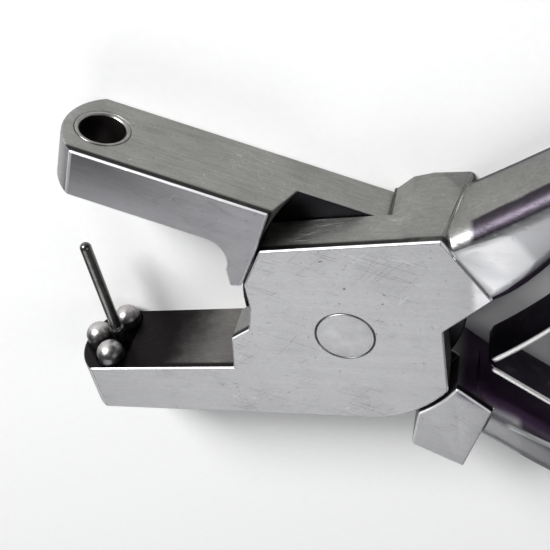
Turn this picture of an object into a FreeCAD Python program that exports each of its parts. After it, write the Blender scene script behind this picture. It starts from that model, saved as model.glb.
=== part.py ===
import FreeCAD, Part
import math
import os
import Sketcher

# Lap-joint punch pliers, lying on their side. The pivot axis is the Z axis, Z = 0 is
# the plane the tool lies on, the jaws point along -X and the handles along +X.
# The two levers are half-lapped: the upper jaw's lever has the back half of the joint,
# the lower jaw's lever has the front half.

doc = FreeCAD.newDocument("punch_pliers")
sheet = doc.addObject("Spreadsheet::Sheet", "Sheet")

# ---------------------------------------------------------------- driving dimensions (mm, degrees)
DIMENSIONS = [
    ("joint_thickness", 12.2), ("lap_gap", 0.1), ("swing_gap", 0.4),
    ("web_radius", 14.7), ("corner_margin", 0.3), ("lug_gap", 0.6),
    ("rivet_radius", 3.7), ("rivet_clearance", 0.04),
    # lower jaw and front plate
    ("jaw_reach", 40.5), ("tip_bulge", 3.0),
    ("jaw_face_tip", 7.4), ("jaw_face_root", 6.2), ("notch_wall", 16.0), ("jaw_heel", 7.0),
    ("ledge_outer_x", 15.2), ("ledge_outer_y", 0.9), ("ledge_inner_x", 12.5), ("ledge_inner_y", 0.8),
    ("cheek_x", 11.6), ("cheek_low", 4.6), ("cheek_high", 8.2),
    ("plate_left", 8.6), ("plate_top_left", 13.6), ("plate_top_right", 14.8), ("plate_right", 12.8),
    ("apex_x", 18.2), ("apex_y", 6.0), ("waist_x", 12.2), ("waist_y", 0.9),
    # full-thickness shoulder block of the lower jaw's lever
    ("block_left_x", 6.3), ("block_left_y", 13.8), ("block_bevel_x", 8.7), ("block_bevel_y", 15.6),
    ("block_crown", 11.2), ("block_top", 16.1), ("block_right", 15.8), ("block_heel", 9.9),
    ("block_foot_x", 17.0), ("block_foot_y", 4.0), ("block_root_x", 13.0), ("block_root_y", 3.0),
    # upper jaw
    ("arm_angle", 23.75), ("arm_thickness", 6.5), ("arm_reach", 40.3),
    ("shoulder_gap", 0.35), ("shoulder_reach", 13.6), ("shoulder_slant", 2.4),
    ("tooth_width", 1.45), ("tooth_root", 10.9), ("tooth_drop", 8.2), ("tooth_fillet", 3.4),
    ("armpit_reach", 19.8), ("shoulder_lean", 0.07),
    # lug of the upper jaw's lever
    ("lug_top_bite", 1.27), ("lug_top_angle", -31.9), ("lug_left_x", 6.6), ("lug_left_y", 20.0),
    ("lug_inner_bite", 0.05), ("lug_inner_angle", -55.0),
    ("lug_low_x", 13.3), ("lug_low_y", 24.3), ("lug_right_x", 17.5), ("lug_right_y", 13.2),
    ("recess_from", -100.0), ("recess_to", 15.0),
    # die bush and its seat
    ("bush_reach", 35.6), ("bore_radius", 2.75), ("bush_wall", 0.6), ("bore_break", 0.25),
    # punch pin, its grub screw and the studs round it
    ("pin_x", 35.0), ("pin_radius", 0.8), ("pin_height", 17.6), ("pin_base_radius", 1.05),
    ("pin_base_rise", 2.6), ("grub_radius", 1.5), ("grub_length", 3.0), ("grub_inset", 0.6),
    ("socket_radius", 0.7), ("socket_depth", 1.2), ("stud_radius", 1.9), ("stud_height", 3.0),
    ("stud_rim", 1.5), ("stud_seat", 0.3), ("stud_pitch", 3.7), ("stud_tip_pitch", 3.05),
    ("shank_radius", 1.0), ("shank_length", 3.2),
    # handles: corner radius of the forged section, and the dipped grips
    ("handle_corner", 2.6), ("grip_wall", 1.5), ("grip_cap", 2.6), ("grip_corner", 3.9),
    ("grip_end_round", 1.8),
    # return springs, each bent in two arcs from a flat foot, and the screws that hold them
    ("leaf_thickness", 0.9), ("leaf_width", 6.4), ("leaf_gap", 0.2), ("leaf_foot", 4.5),
    ("leaf_bend", 16.0),
    ("upper_first_turn", 45.0), ("upper_second_turn", -28.0), ("upper_sweep", 59.3),
    ("lower_first_turn", -20.0), ("lower_second_turn", -2.2), ("lower_sweep", 800.0),
    ("screw_radius", 1.25), ("head_radius", 2.4), ("head_height", 1.3), ("slot_width", 0.7),
    ("slot_depth", 0.7), ("slot_overrun", 0.5),
]

# Handle stations: centre x, centre y, heading in degrees, width in the plane, depth along Z.
UPPER_STATIONS = [
    (13.2, 8.6, 30.0, 10.6, 12.0), (18.6, 11.4, 36.0, 10.6, 12.0), (24.4, 15.7, 35.0, 8.4, 11.4),
    (33.5, 21.2, 27.0, 7.4, 10.6), (41.0, 24.6, 21.0, 7.0, 10.0), (49.0, 27.3, 17.0, 6.8, 9.5),
    (61.5, 30.8, 13.0, 6.7, 9.0),
    (78.0, 34.0, 9.0, 6.6, 9.0), (106.0, 37.0, 4.0, 6.4, 9.0),
]
LOWER_STATIONS = [
    (13.6, -13.8, -38.0, 6.6, 11.6), (18.4, -17.0, -41.0, 6.8, 11.4), (24.6, -22.3, -39.0, 6.9, 11.0),
    (33.5, -28.4, -29.0, 6.9, 10.5), (41.0, -32.1, -22.5, 6.8, 10.0), (49.0, -35.0, -18.0, 6.8, 9.5),
    (61.5, -38.7, -14.0, 6.7, 9.0),
    (78.0, -42.1, -10.0, 6.6, 9.0), (106.0, -46.0, -5.5, 6.4, 9.0),
]
STATION_PARTS = ("x", "y", "heading", "width", "depth")
STATION_LETTERS = "abcdefghi"
HANDLE_SPANS = ("abcde", "efghi")   # each handle is two smooth spans that meet in front of the spring's screw
SPRING_STATION = "f"                # the return spring is screwed on here
GRIP_STATIONS = "ghi"               # the dipped grip covers these

for side, stations in (("upper", UPPER_STATIONS), ("lower", LOWER_STATIONS)):
    for number, station in enumerate(stations):
        for part_name, value in zip(STATION_PARTS, station):
            DIMENSIONS.append((f"{side}_{part_name}_{STATION_LETTERS[number]}", value))

for row, (alias, value) in enumerate(DIMENSIONS, start=1):
    sheet.set(f"A{row}", alias)
    sheet.set(f"B{row}", str(value))
    sheet.setAlias(f"B{row}", alias)
doc.recompute()


class Size:
    """A length that knows both its value and the spreadsheet expression that gives it."""

    def __init__(self, value, text):
        self.value = value
        self.text = text

    def __add__(self, other):
        other = as_size(other)
        return Size(self.value + other.value, f"({self.text} + {other.text})")

    def __sub__(self, other):
        other = as_size(other)
        return Size(self.value - other.value, f"({self.text} - {other.text})")

    def __rsub__(self, other):
        return as_size(other) - self

    def __mul__(self, other):
        other = as_size(other)
        return Size(self.value * other.value, f"({self.text} * {other.text})")

    def __truediv__(self, other):
        other = as_size(other)
        return Size(self.value / other.value, f"({self.text} / {other.text})")

    def __neg__(self):
        return Size(-self.value, f"(0 - {self.text})")

    __radd__ = __add__
    __rmul__ = __mul__


def as_size(number):
    return number if isinstance(number, Size) else Size(float(number), repr(float(number)))


def size(alias):
    return Size(float(sheet.get(alias)), f"Sheet.{alias}")


def root(length):
    return Size(math.sqrt(length.value), f"sqrt({length.text})")


def sine(angle):
    return Size(math.sin(math.radians(angle.value)), f"sin({angle.text} * 1 deg)")


def cosine(angle):
    return Size(math.cos(math.radians(angle.value)), f"cos({angle.text} * 1 deg)")


def polar(radius, angle):
    return (radius * cosine(angle), radius * sine(angle))


# ---------------------------------------------------------------- sketch and feature helpers
def new_body(label):
    body = doc.addObject("PartDesign::Body", label)
    body.Label = label
    return body


def plane(body, role):
    return next(o for o in body.Origin.OriginFeatures if o.Role == role)


def attach(body, name, role, offset=None, turn=None, turn_axis=(0, 1, 0)):
    """A sketch on one of the body's origin planes, moved by offset and turned, all bound to the sheet."""
    sketch = body.newObject("Sketcher::SketchObject", name)
    sketch.AttachmentSupport = [(plane(body, role), "")]
    sketch.MapMode = "FlatFace"
    base = offset or (0, 0, 0)
    start = FreeCAD.Vector(*[as_size(c).value for c in base])
    angle = as_size(turn or 0)
    rotation = FreeCAD.Rotation(FreeCAD.Vector(*turn_axis), angle.value)
    sketch.AttachmentOffset = FreeCAD.Placement(start, rotation)
    for axis, coordinate in zip("xyz", base):
        if isinstance(coordinate, Size):
            sketch.setExpression(f"AttachmentOffset.Base.{axis}", coordinate.text)
    if turn is not None:
        sketch.setExpression("AttachmentOffset.Rotation.Angle", f"{angle.text} * 1 deg")
    return sketch


def bind(sketch, index, length):
    sketch.renameConstraint(index, f"d{index}")
    sketch.setExpression(f"Constraints.d{index}", length.text)


def pin_point(sketch, geometry, vertex, x, y):
    """Fix a vertex by its distances from the sketch's origin."""
    for kind, axis_line, coordinate in (("DistanceX", -2, x), ("DistanceY", -1, y)):
        coordinate = as_size(coordinate)
        if abs(coordinate.value) < 1e-9:
            sketch.addConstraint(Sketcher.Constraint("PointOnObject", geometry, vertex, axis_line))
        elif coordinate.value > 0:
            rule = Sketcher.Constraint(kind, -1, 1, geometry, vertex, coordinate.value)
            bind(sketch, sketch.addConstraint(rule), coordinate)
        else:
            rule = Sketcher.Constraint(kind, geometry, vertex, -1, 1, -coordinate.value)
            bind(sketch, sketch.addConstraint(rule), -coordinate)


def outline(sketch, points, arcs=None):
    """A closed outline through the points. arcs gives, for a side's number, its radius:
    positive when the arc's centre lies to the left of the way from point to point."""
    arcs = arcs or {}
    count = len(points)
    spots = [FreeCAD.Vector(as_size(x).value, as_size(y).value, 0) for x, y in points]
    flip = {}
    for i in range(count):
        start, end = spots[i], spots[(i + 1) % count]
        if i in arcs:
            radius = abs(arcs[i].value)
            chord = end - start
            left = FreeCAD.Vector(-chord.y, chord.x, 0).normalize()
            side = 1 if arcs[i].value > 0 else -1
            height = math.sqrt(max(radius ** 2 - (chord.Length / 2) ** 2, 0))
            centre = (start + end) * 0.5 + left * (side * height)
            first, last = (start, end) if side > 0 else (end, start)
            a0 = math.atan2(first.y - centre.y, first.x - centre.x)
            a1 = math.atan2(last.y - centre.y, last.x - centre.x)
            if a1 < a0:
                a1 += 2 * math.pi
            circle = Part.Circle(centre, FreeCAD.Vector(0, 0, 1), radius)
            sketch.addGeometry(Part.ArcOfCircle(circle, a0, a1), False)
            flip[i] = side < 0
        else:
            sketch.addGeometry(Part.LineSegment(start, end), False)
            flip[i] = False
    for i in range(count):
        following = (i + 1) % count
        tail = 1 if flip[i] else 2
        head = 2 if flip[following] else 1
        sketch.addConstraint(Sketcher.Constraint("Coincident", i, tail, following, head))
    for i, (x, y) in enumerate(points):
        pin_point(sketch, i, 2 if flip[i] else 1, x, y)
    for i, radius in arcs.items():
        index = sketch.addConstraint(Sketcher.Constraint("Radius", i, abs(radius.value)))
        bind(sketch, index, radius if radius.value > 0 else -radius)
    return sketch


def ring(sketch, x, y, radius):
    """A full circle at x, y."""
    x, y = as_size(x), as_size(y)
    index = sketch.addGeometry(
        Part.Circle(FreeCAD.Vector(x.value, y.value, 0), FreeCAD.Vector(0, 0, 1), radius.value), False)
    bind(sketch, sketch.addConstraint(Sketcher.Constraint("Radius", index, radius.value)), radius)
    if abs(x.value) < 1e-9 and abs(y.value) < 1e-9:
        sketch.addConstraint(Sketcher.Constraint("Coincident", index, 3, -1, 1))
    else:
        pin_point(sketch, index, 3, x, y)
    return sketch


def rounded_section(sketch, width, depth, corner):
    """A rectangle centred on the sketch's origin with four equal rounded corners."""
    half_x, half_y = width / 2 - corner, depth / 2 - corner
    signs = ((1, 1), (-1, 1), (-1, -1), (1, -1))
    r = corner.value
    for number, (sx, sy) in enumerate(signs):
        centre = FreeCAD.Vector(sx * half_x.value, sy * half_y.value, 0)
        circle = Part.Circle(centre, FreeCAD.Vector(0, 0, 1), r)
        start = number * math.pi / 2
        sketch.addGeometry(Part.ArcOfCircle(circle, start, start + math.pi / 2), False)
    for number, (sx, sy) in enumerate(signs):
        nx, ny = signs[(number + 1) % 4]
        turn = (number + 1) * math.pi / 2
        reach = FreeCAD.Vector(r * math.cos(turn), r * math.sin(turn), 0)
        start = FreeCAD.Vector(sx * half_x.value, sy * half_y.value, 0) + reach
        end = FreeCAD.Vector(nx * half_x.value, ny * half_y.value, 0) + reach
        sketch.addGeometry(Part.LineSegment(start, end), False)
    for number in range(4):
        line = 4 + number
        sketch.addConstraint(Sketcher.Constraint("Tangent", number, 2, line, 1))
        sketch.addConstraint(Sketcher.Constraint("Tangent", line, 2, (number + 1) % 4, 1))
    for number, (sx, sy) in enumerate(signs):
        pin_point(sketch, number, 3, half_x * sx, half_y * sy)
        if number:
            sketch.addConstraint(Sketcher.Constraint("Equal", 0, number))
    bind(sketch, sketch.addConstraint(Sketcher.Constraint("Radius", 0, r)), corner)
    return sketch


def pad(body, name, sketch, length):
    feature = body.newObject("PartDesign::Pad", name)
    feature.Profile = sketch
    feature.setExpression("Length", length.text)
    doc.recompute()
    return feature


def cut(body, name, sketch, length=None, reverse=False):
    """A pocket, through everything when no length is given; it has to remove material."""
    before = body.Shape.Volume
    feature = body.newObject("PartDesign::Pocket", name)
    feature.Profile = sketch
    feature.Reversed = reverse
    if length is None:
        feature.Type = 1
    else:
        feature.setExpression("Length", length.text)
    doc.recompute()
    if body.Shape.Volume > before - 1e-3:
        raise RuntimeError(f"{body.Label}: {name} cuts nothing")
    return feature


def revolve(body, name, sketch):
    feature = body.newObject("PartDesign::Revolution", name)
    feature.Profile = sketch
    feature.ReferenceAxis = (sketch, ["V_Axis"])
    feature.Angle = 360
    doc.recompute()
    return feature


def loft(body, name, sketches, kind="Additive", ruled=False):
    feature = body.newObject(f"PartDesign::{kind}Loft", name)
    feature.Profile = sketches[0]
    feature.Sections = sketches[1:]
    feature.Ruled = ruled
    doc.recompute()
    return feature


def round_end(body, name, radius, reach):
    """Round the edges of the face that lies furthest out along reach."""
    base = body.Tip
    direction = FreeCAD.Vector(*reach)
    far = max(base.Shape.Faces, key=lambda face: face.CenterOfMass.dot(direction))
    names = [f"Edge{i + 1}" for i, edge in enumerate(base.Shape.Edges)
             if any(edge.isSame(other) for other in far.Edges)]
    feature = body.newObject("PartDesign::Fillet", name)
    feature.Base = (base, names)
    feature.setExpression("Radius", radius.text)
    doc.recompute()
    return feature


# ---------------------------------------------------------------- sizes shared by both levers
thickness = size("joint_thickness")
middle = thickness / 2
half_gap = size("lap_gap") / 2
front_floor = middle + half_gap                 # underside of the front plate
back_roof = middle - half_gap                   # top of the back web
web_radius = size("web_radius")
lap_radius = web_radius + size("swing_gap")     # concave faces round the web
corner_radius = lap_radius + size("corner_margin")
lug_radius = corner_radius + size("lug_gap")
rivet_radius = size("rivet_radius")
floor_y = -lap_radius                           # the jaw's underside runs level with the lap


def across(radius, y):
    """How far out a circle about the pivot is at height y."""
    return root(radius * radius - y * y)


def tip_cutter(body, name, reach, role_turn=None):
    """Plan-view region beyond the rounded tip of a jaw: the tip is an arc that bulges by tip_bulge
    over the full thickness."""
    bulge = size("tip_bulge")
    radius = (middle * middle + bulge * bulge) / (2 * bulge)
    sketch = attach(body, name, "XZ_Plane", turn=role_turn)
    spare = size("jaw_face_tip")
    outline(sketch, [
        (-(reach - bulge), thickness), (-(reach + spare), thickness),
        (-(reach + spare), as_size(0)), (-(reach - bulge), as_size(0)),
    ], {3: -radius})
    return sketch


def station(side, letter):
    return (size(f"{side}_{part_name}_{letter}") for part_name in STATION_PARTS)


def handle_sections(body, side, letters):
    """Sketches across the forged handle, one at each of the lettered stations."""
    sections = []
    for letter in letters:
        x, y, heading, width, depth = station(side, letter)
        name = f"{body.Label}_{letters}_{letter}"
        sketch = attach(body, name, "YZ_Plane", offset=(y, middle, x), turn=heading)
        sections.append(rounded_section(sketch, width, depth, size("handle_corner")))
    return sections


def screw_bore(body, side, reverse):
    """The return spring's screw hole, from the middle of the handle out through its inner side."""
    x, y, heading, width, _ = station(side, SPRING_STATION)
    hole = ring(attach(body, f"{body.Label}_screw_hole", "XZ_Plane", offset=(x, middle, -y), turn=heading),
                0, 0, size("screw_radius"))
    cut(body, f"{body.Label}_screw_bore", hole, width, reverse=reverse)


# ---------------------------------------------------------------- lower jaw lever, one forging:
# lower jaw, front plate, shoulder block and upper handle
jaw_reach = size("jaw_reach")
face_slope = (size("jaw_face_tip") - size("jaw_face_root")) / (jaw_reach - size("notch_wall"))


def jaw_face(x):
    """Height of the lower jaw's inner face, x in front of the pivot."""
    return -(size("jaw_face_tip") - face_slope * (jaw_reach - x))


lower_lever = new_body("lower_jaw_lever")
heel = -size("jaw_heel")
jaw_root = (-size("notch_wall"), -size("jaw_face_root"))
jaw_bar = outline(attach(lower_lever, "jaw_bar", "XY_Plane"), [
    (-jaw_reach, floor_y), (heel, floor_y), (heel, -size("jaw_face_root")),
    jaw_root, (-jaw_reach, -size("jaw_face_tip")),
])
pad(lower_lever, "jaw_bar_pad", jaw_bar, thickness)

plate_start = -jaw_reach + size("tip_bulge") * 2
plate = outline(attach(lower_lever, "front_plate", "XY_Plane", offset=(0, 0, front_floor)), [
    (plate_start, floor_y),
    (across(corner_radius, floor_y), floor_y),
    (size("waist_x"), -across(corner_radius, size("waist_x"))),
    (size("waist_x"), size("waist_y")),
    (size("apex_x"), size("apex_y")),
    (size("plate_right"), size("plate_top_right")),
    (-size("plate_left"), size("plate_top_left")),
    (-size("cheek_x"), size("cheek_high")),
    (-size("cheek_x"), size("cheek_low")),
    (-size("ledge_inner_x"), size("ledge_inner_y")),
    (-size("ledge_outer_x"), -size("ledge_outer_y")),
    jaw_root,
    (plate_start, floor_y + size("jaw_face_root")),
], {1: corner_radius})
pad(lower_lever, "front_plate_pad", plate, thickness - front_floor)

block_root = (size("block_root_x"), size("block_root_y"))
block_left = (size("block_left_x"), size("block_left_y"))
top_slope = (size("plate_top_right") - size("plate_top_left")) / (size("plate_right") + size("plate_left"))


def plate_top(x):
    """Height of the front plate's top edge at x."""
    return size("plate_top_left") + top_slope * (x + size("plate_left"))


def diagonal(y):
    """Where the front plate's slanted end is at height y."""
    slope = (size("apex_x") - size("plate_right")) / (size("plate_top_right") - size("apex_y"))
    return size("plate_right") + slope * (size("plate_top_right") - y)


block_back = outline(attach(lower_lever, "block_back", "XY_Plane"), [
    block_root, (size("block_foot_x"), size("block_foot_y")),
    (size("block_right"), size("block_heel")), (size("block_right"), size("block_top")),
    (size("block_crown"), size("block_top")), (size("block_bevel_x"), size("block_bevel_y")), block_left,
])
block_front = outline(attach(lower_lever, "block_front", "XY_Plane", offset=(0, 0, thickness)), [
    block_root, (size("apex_x"), size("apex_y")),
    (diagonal(size("block_heel")), size("block_heel")), (size("plate_right"), size("plate_top_right")),
    (size("block_crown"), plate_top(size("block_crown"))),
    (size("block_bevel_x"), plate_top(size("block_bevel_x"))),
    (size("block_left_x"), size("block_left_y")),
])
loft(lower_lever, "shoulder_block", [block_back, block_front], ruled=True)
for span in HANDLE_SPANS:
    loft(lower_lever, f"upper_handle_{span}", handle_sections(lower_lever, "upper", span))
screw_bore(lower_lever, "upper", reverse=True)

lap = ring(attach(lower_lever, "lap", "XY_Plane"), 0, 0, lap_radius)
cut(lower_lever, "lap_recess", lap, front_floor, reverse=True)
rivet_hole = ring(attach(lower_lever, "rivet_hole", "XY_Plane"), 0, 0, rivet_radius)
cut(lower_lever, "rivet_bore", rivet_hole, reverse=True)
cut(lower_lever, "rounded_tip", tip_cutter(lower_lever, "tip_curve", jaw_reach), reverse=True)

pin_x = -size("pin_x")
pin_radius = size("pin_radius")
pin_base_radius = size("pin_base_radius")
pin_foot = floor_y + size("grub_inset") + size("grub_length")
pin_hole = ring(attach(lower_lever, "pin_hole", "XZ_Plane", offset=(0, 0, -pin_foot)), pin_x, middle,
                pin_base_radius)
cut(lower_lever, "pin_bore", pin_hole)
grub_hole = ring(attach(lower_lever, "grub_hole", "XZ_Plane", offset=(0, 0, -pin_foot)), pin_x, middle,
                 size("grub_radius"))
cut(lower_lever, "grub_bore", grub_hole, reverse=True)

stud_radius = size("stud_radius")
STUDS = {
    "stud_tip": (pin_x - size("stud_tip_pitch"), middle),
    "stud_front": (pin_x, middle + size("stud_pitch")),
    "stud_back": (pin_x, middle - size("stud_pitch")),
}
stud_foot = jaw_face(size("pin_x")) - size("stud_seat")
for stud, (x, z) in STUDS.items():
    seat = attach(lower_lever, f"{stud}_seat", "XZ_Plane", offset=(0, 0, -stud_foot))
    cut(lower_lever, f"{stud}_spotface", ring(seat, x, z, stud_radius))
    shank_end = stud_foot - size("shank_length")
    shank = attach(lower_lever, f"{stud}_hole", "XZ_Plane", offset=(0, 0, -shank_end))
    cut(lower_lever, f"{stud}_bore", ring(shank, x, z, size("shank_radius")))

# ---------------------------------------------------------------- upper jaw lever, one forging:
# upper jaw, back web, lug and lower handle
upper_lever = new_body("upper_jaw_lever")
arm_angle = size("arm_angle")
arm_top = web_radius                            # the jaw's top face runs tangent to the web
arm_floor = web_radius - size("arm_thickness")


def on_arm(along, height):
    """A point at a distance along the jaw from the foot of its normal, and a height over the pivot."""
    return (height * sine(arm_angle) - along * cosine(arm_angle),
            height * cosine(arm_angle) + along * sine(arm_angle))


tooth_right = -(size("cheek_x") + size("shoulder_gap"))
tooth_left = tooth_right - size("tooth_width")
jaw_side = [
    on_arm(size("arm_reach"), arm_top),
    on_arm(size("arm_reach"), arm_floor),
    on_arm(size("armpit_reach"), arm_floor),
    (tooth_left, size("tooth_root")),
    (tooth_left, size("tooth_drop")),
]
web = ring(attach(upper_lever, "web", "XY_Plane"), 0, 0, web_radius)
pad(upper_lever, "web_pad", web, back_roof)
arm_root = [on_arm(as_size(0), arm_top)]
arm_heel = [(tooth_right + size("tooth_width"), size("cheek_low"))]
arm_back = outline(attach(upper_lever, "arm_back", "XY_Plane"), arm_root + jaw_side + arm_heel,
                   {3: -size("tooth_fillet")})
pad(upper_lever, "arm_back_pad", arm_back, back_roof)


def arm_front(name, height, shoulder):
    """Front half of the jaw at a height in Z: it ends in the shoulder that faces the front plate."""
    return outline(attach(upper_lever, name, "XY_Plane", offset=(0, 0, height)), jaw_side + [
        (tooth_right, size("tooth_drop")),
        (-size("plate_left") - size("shoulder_gap") - size("shoulder_lean"), size("plate_top_left")),
        on_arm(shoulder, arm_top),
    ], {2: -size("tooth_fillet")})


loft(upper_lever, "arm_front", [
    arm_front("arm_front_low", back_roof, size("shoulder_reach") - size("shoulder_slant")),
    arm_front("arm_front_high", thickness, size("shoulder_reach")),
], ruled=True)

lug = outline(attach(upper_lever, "lug", "XY_Plane"), [
    polar(web_radius - size("lug_top_bite"), size("lug_top_angle")),
    polar(web_radius - size("lug_inner_bite"), size("lug_inner_angle")),
    (size("lug_left_x"), -size("lug_left_y")), (size("lug_low_x"), -size("lug_low_y")),
    (size("lug_right_x"), -size("lug_right_y")),
])
pad(upper_lever, "lug_pad", lug, thickness)
for span in HANDLE_SPANS:
    loft(upper_lever, f"lower_handle_{span}", handle_sections(upper_lever, "lower", span))
screw_bore(upper_lever, "lower", reverse=False)
recess = outline(attach(upper_lever, "recess", "XY_Plane", offset=(0, 0, back_roof)), [
    (as_size(0), as_size(0)), polar(lug_radius, size("recess_from")), polar(lug_radius, size("recess_to")),
], {1: lug_radius})
cut(upper_lever, "plate_recess", recess, reverse=True)
rivet_hole = ring(attach(upper_lever, "rivet_hole", "XY_Plane"), 0, 0, rivet_radius + size("rivet_clearance"))
cut(upper_lever, "rivet_bore", rivet_hole, reverse=True)
cut(upper_lever, "rounded_tip", tip_cutter(upper_lever, "tip_curve", size("arm_reach"), -arm_angle))
bush_radius = size("bore_radius") + size("bush_wall")
seat = attach(upper_lever, "bush_seat", "XZ_Plane", turn=-arm_angle)
cut(upper_lever, "bush_bore", ring(seat, -size("bush_reach"), middle, bush_radius))


# ---------------------------------------------------------------- turned pieces
def turned(label, profile, x, y, z, arcs=None, turn=None):
    """A piece turned about its own Y axis from a half profile of (radius, height), then placed."""
    body = new_body(label)
    revolve(body, f"{label}_turned", outline(attach(body, f"{label}_profile", "XY_Plane"), profile, arcs))
    angle = as_size(0 if turn is None else turn)
    place = FreeCAD.Vector(x.value, y.value, z.value)
    body.Placement = FreeCAD.Placement(place, FreeCAD.Rotation(FreeCAD.Vector(0, 0, 1), angle.value))
    for axis, coordinate in zip("xyz", (x, y, z)):
        body.setExpression(f"Placement.Base.{axis}", coordinate.text)
    if turn is not None:
        body.setExpression("Placement.Rotation.Angle", f"{angle.text} * 1 deg")
    return body


nought = as_size(0)
rivet = new_body("pivot_rivet")
pad(rivet, "rivet_pad", ring(attach(rivet, "rivet_circle", "XY_Plane"), 0, 0, rivet_radius), thickness)

pin_base = jaw_face(size("pin_x")) - pin_foot + size("pin_base_rise")
pin_length = jaw_face(size("pin_x")) - pin_foot + size("pin_height")
turned("punch_pin", [
    (nought, nought), (pin_base_radius, nought), (pin_base_radius, pin_base), (pin_radius, pin_base),
    (pin_radius, pin_length - pin_radius), (nought, pin_length),
], pin_x, pin_foot, middle, {4: pin_radius})

grub_radius, grub_length = size("grub_radius"), size("grub_length")
turned("pin_grub_screw", [
    (nought, size("socket_depth")), (size("socket_radius"), size("socket_depth")),
    (size("socket_radius"), nought), (grub_radius, nought), (grub_radius, grub_length),
    (nought, grub_length),
], pin_x, floor_y + size("grub_inset"), middle)

stud_height, shank_radius = size("stud_height"), size("shank_radius")
crown = stud_height - size("stud_rim")
dome_radius = (stud_radius * stud_radius + crown * crown) / (2 * crown)
for stud, (x, z) in STUDS.items():
    turned(stud, [
        (nought, -size("shank_length")), (shank_radius, -size("shank_length")), (shank_radius, nought),
        (stud_radius, nought), (stud_radius, size("stud_rim")), (nought, stud_height),
    ], x, stud_foot, z, {4: dome_radius})

bore_radius, bore_break = size("bore_radius"), size("bore_break")
bush_x, bush_y = on_arm(size("bush_reach"), arm_floor)
turned("die_bush", [
    (bore_radius, nought), (bush_radius, nought), (bush_radius, size("arm_thickness")),
    (bore_radius + bore_break, size("arm_thickness")), (bore_radius, size("arm_thickness") - bore_break),
], bush_x, bush_y, middle, turn=-arm_angle)


# ---------------------------------------------------------------- return springs, their screws and the grips
def ribbon(sketch, start, heading, lengths_and_arcs, half):
    """A strip of even thickness along a path: each step is a straight ("line", length) or an
    ("arc", radius, turn), a positive turn going left."""
    stations, radii = [(start, heading)], []
    for kind, *values in lengths_and_arcs:
        (x, y), heading = stations[-1]
        if kind == "line":
            way, stride, turn = heading, values[0], nought
            radii.append(None)
        else:
            radius, turn = values
            way = heading + turn / 2
            half_turn = turn / 2 if turn.value > 0 else -turn / 2
            stride = 2 * radius * sine(half_turn)
            radii.append((radius, 1 if turn.value > 0 else -1))
        stations.append(((x + stride * cosine(way), y + stride * sine(way)), heading + turn))
    right = [(x + half * sine(h), y - half * cosine(h)) for (x, y), h in stations]
    left = [(x - half * sine(h), y + half * cosine(h)) for (x, y), h in stations]
    steps = len(radii)
    arcs = {}
    for i, arc in enumerate(radii):
        if arc:
            radius, side = arc
            arcs[i] = radius + half if side > 0 else -(radius - half)
            arcs[2 * steps - i] = -(radius - half) if side > 0 else radius + half
    return outline(sketch, right + left[::-1], arcs)


def spring(side, host_turn, inward):
    """One leaf: a flat foot along the handle's inner side, then two arcs towards the other leaf."""
    body = new_body(f"leaf_spring_{side}")
    x, y, heading, width, _ = station(side, SPRING_STATION)
    half, foot = size("leaf_thickness") / 2, size("leaf_foot")
    lift = (width / 2 + size("leaf_gap") + half) * inward
    start = (x + lift * sine(heading) + foot * cosine(heading),
             y - lift * cosine(heading) + foot * sine(heading))
    sketch = attach(body, f"leaf_{side}_side", "XY_Plane", offset=(0, 0, middle - size("leaf_width") / 2))
    ribbon(sketch, start, heading + 180, [
        ("line", foot * 2),
        ("arc", size("leaf_bend"), size(f"{side}_first_turn")),
        ("arc", size(f"{side}_sweep"), size(f"{side}_second_turn")),
    ], half)
    pad(body, f"leaf_{side}_pad", sketch, size("leaf_width"))
    screw_bore(body, side, reverse=inward > 0)
    neck = width / 2 + size("leaf_gap") + size("leaf_thickness")
    screw_radius, head_radius = size("screw_radius"), size("head_radius")
    head_top = neck + size("head_height")
    screw = turned(f"spring_screw_{side}", [
        (nought, nought), (screw_radius, nought), (screw_radius, neck), (head_radius, neck),
        (head_radius, head_top), (nought, head_top),
    ], x, y, middle, turn=heading + host_turn)
    slot = attach(screw, f"slot_{side}", "XZ_Plane", offset=(0, 0, -(head_top - size("slot_depth"))))
    half_slot, slot_end = size("slot_width") / 2, head_radius + size("slot_overrun")
    outline(slot, [(-slot_end, -half_slot), (slot_end, -half_slot), (slot_end, half_slot),
                   (-slot_end, half_slot)])
    cut(screw, f"driver_slot_{side}", slot)


spring("upper", 180, 1)
spring("lower", 0, -1)

for side in ("upper", "lower"):
    grip = new_body(f"grip_{side}")
    skins = []
    for letter in GRIP_STATIONS:
        x, y, heading, width, _ = station(side, letter)
        outer = width + 2 * size("grip_wall")
        sketch = attach(grip, f"grip_{side}_skin_{letter}", "YZ_Plane", offset=(y, middle, x), turn=heading)
        skins.append(rounded_section(sketch, outer, thickness, size("grip_corner")))
    loft(grip, f"grip_{side}_sleeve", skins)
    end = attach(grip, f"grip_{side}_end", "YZ_Plane", offset=(y, middle, x), turn=heading)
    pad(grip, f"grip_{side}_cap", rounded_section(end, outer, thickness, size("grip_corner")),
        size("grip_cap"))
    round_end(grip, f"grip_{side}_end_round", size("grip_end_round"), (1, 0, 0))
    loft(grip, f"grip_{side}_bore", handle_sections(grip, side, HANDLE_SPANS[1]), kind="Subtractive")

# ---------------------------------------------------------------- checks and files
doc.recompute()
for item in doc.Objects:
    if "Invalid" in item.State or "Error" in item.State:
        raise RuntimeError(f"{item.Name} failed: {item.State}")
os.makedirs("parts", exist_ok=True)
bodies = [item for item in doc.Objects if item.TypeId == "PartDesign::Body"]
for body in bodies:
    if body.Shape.isNull() or not body.Shape.isValid() or len(body.Shape.Solids) != 1:
        raise RuntimeError(f"{body.Label} is not one valid solid")
for body in bodies:
    body.Shape.exportStep(f"parts/{body.Label}.step")
    print(body.Label, round(body.Shape.Volume, 1))
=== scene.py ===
import math

import bmesh
import bpy
import numpy as np
from mathutils import Matrix, Vector


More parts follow.
